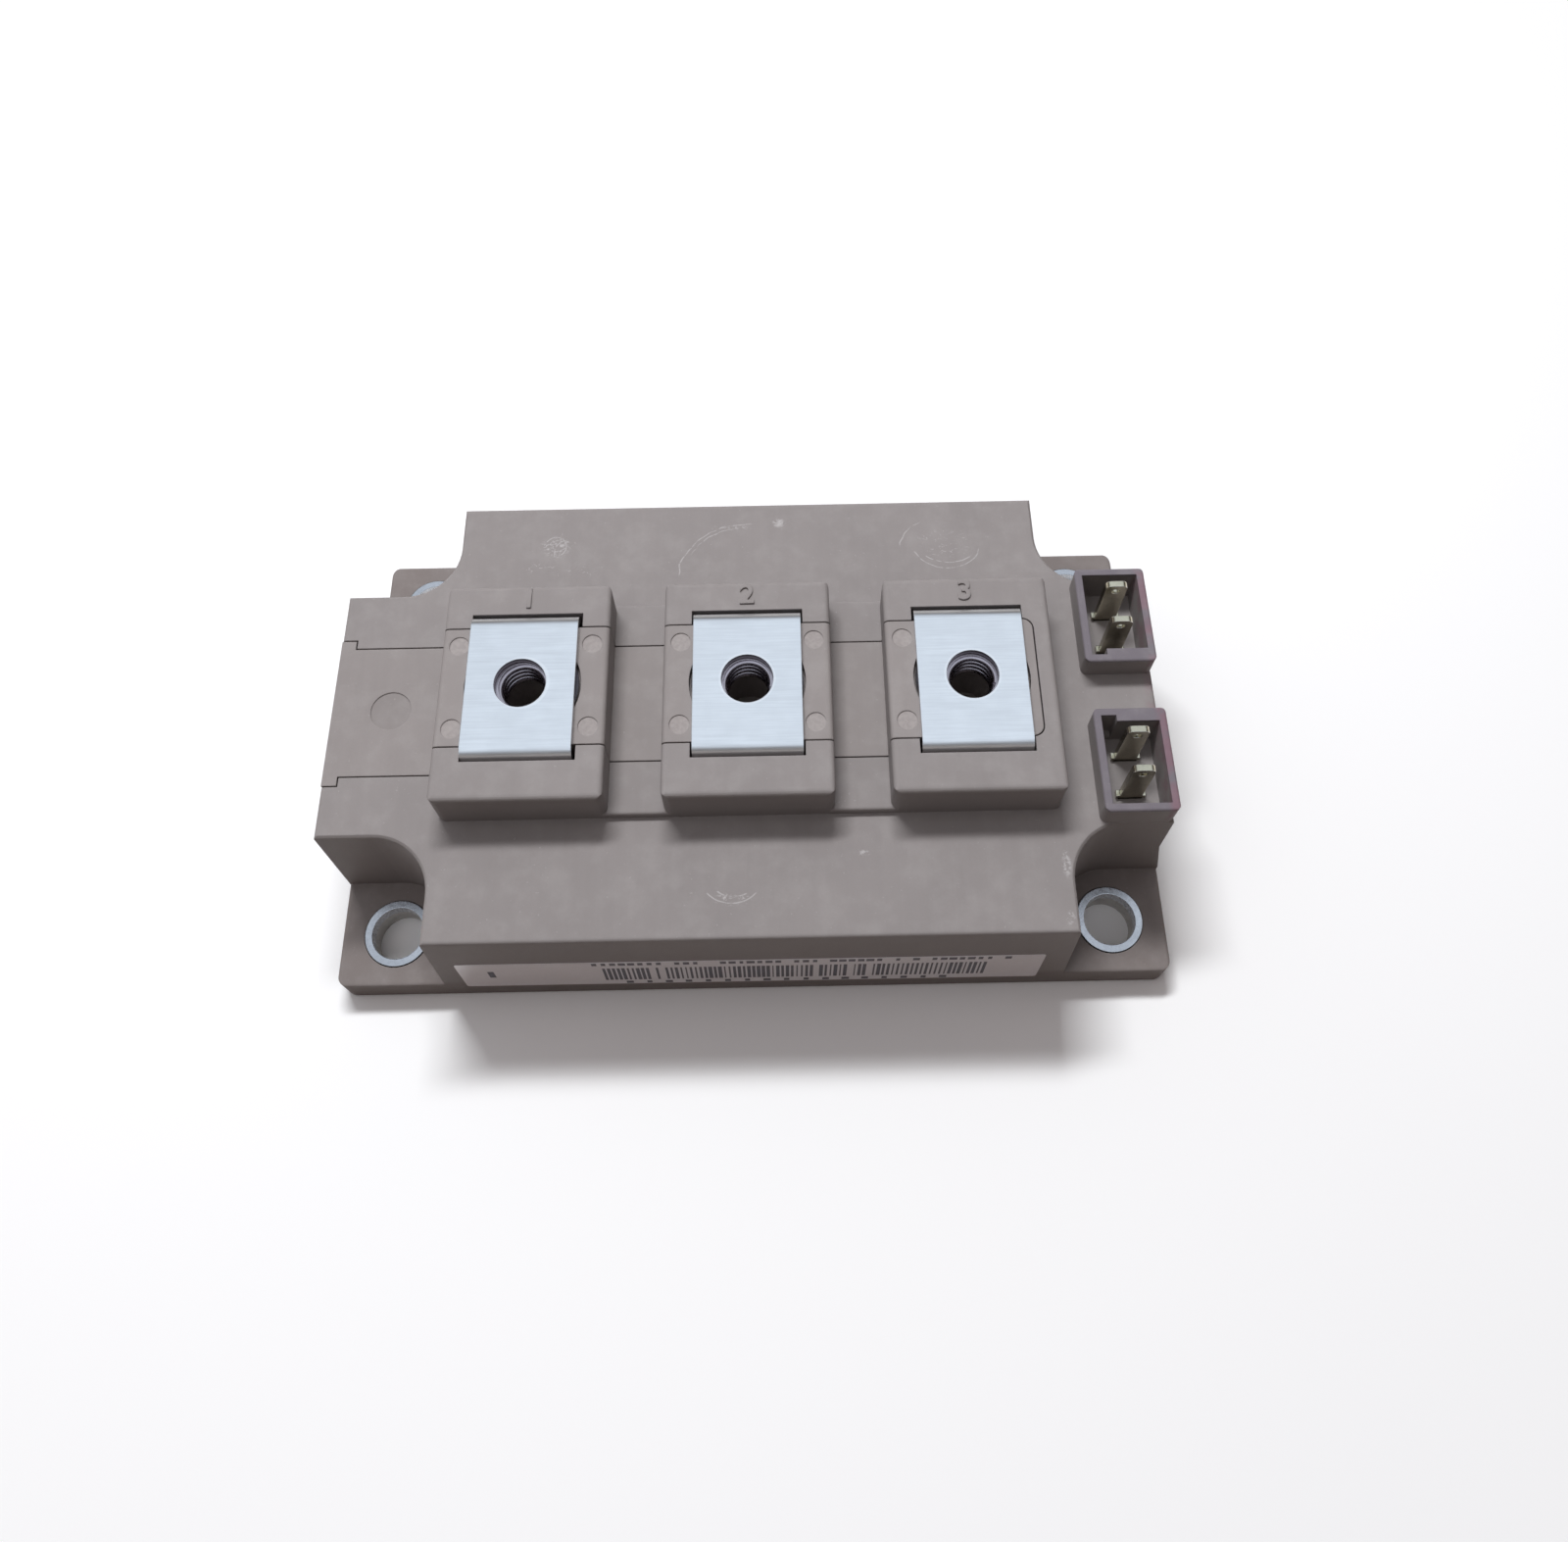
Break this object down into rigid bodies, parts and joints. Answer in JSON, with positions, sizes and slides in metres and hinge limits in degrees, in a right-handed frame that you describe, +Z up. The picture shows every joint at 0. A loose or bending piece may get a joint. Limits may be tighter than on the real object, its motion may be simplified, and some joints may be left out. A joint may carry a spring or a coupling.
{
  "type": "igbt module",
  "caption": "Half-bridge power transistor module: moulded case with fixing ears, a row of screw terminals with captive nuts, and shrouded tab connectors at one end.",
  "frame": {"origin": "centre of the base plate's underside", "axes": "+X along the row of screw terminals towards the tab connectors, +Y to the rear, +Z up from the base plate"},
  "size_m": [0.1074, 0.0616, 0.03],
  "materials": {
    "case": "fine matte moulding texture",
    "nut_holder": "fine matte moulding texture",
    "terminals": "nickel-plated copper, finely brushed",
    "nuts": "plated steel, slightly dull",
    "collars": "plated steel, turned",
    "tabs": "tin-plated brass",
    "base_plate": "nickel-plated copper",
    "seal": "cured adhesive",
    "copper": "bare copper",
    "ceramic": "fired alumina",
    "chips": "metallised silicon",
    "bond_wires": "drawn wire",
    "leads": "tinned copper strip",
    "gel": "clear soft gel"
  },
  "bodies": {
    "root": {"housing": "case", "lid": "nut_holder", "base_plate": "base_plate", "case_seal": "seal", "terminal_phase": "terminals", "terminal_negative": "terminals", "terminal_positive": "terminals", "nut_phase": "nuts", "nut_negative": "nuts", "nut_positive": "nuts", "collar_1": "collars", "collar_2": "collars", "collar_3": "collars", "collar_4": "collars", "tab_1": "tabs", "tab_2": "tabs", "tab_3": "tabs", "tab_4": "tabs", "backing_left": "copper", "backing_right": "copper", "ceramic_left": "ceramic", "ceramic_right": "ceramic", "circuit_left": "copper", "circuit_right": "copper", "igbt_chips_left": "chips", "igbt_chips_right": "chips", "diode_chips_left": "chips", "diode_chips_right": "chips", "bond_wires_left": "bond_wires", "bond_wires_right": "bond_wires", "bridge": "copper", "lead_1": "leads", "lead_2": "leads", "lead_3": "leads", "lead_4": "leads", "silicone_gel": "gel"}
  },
  "joints": []
}
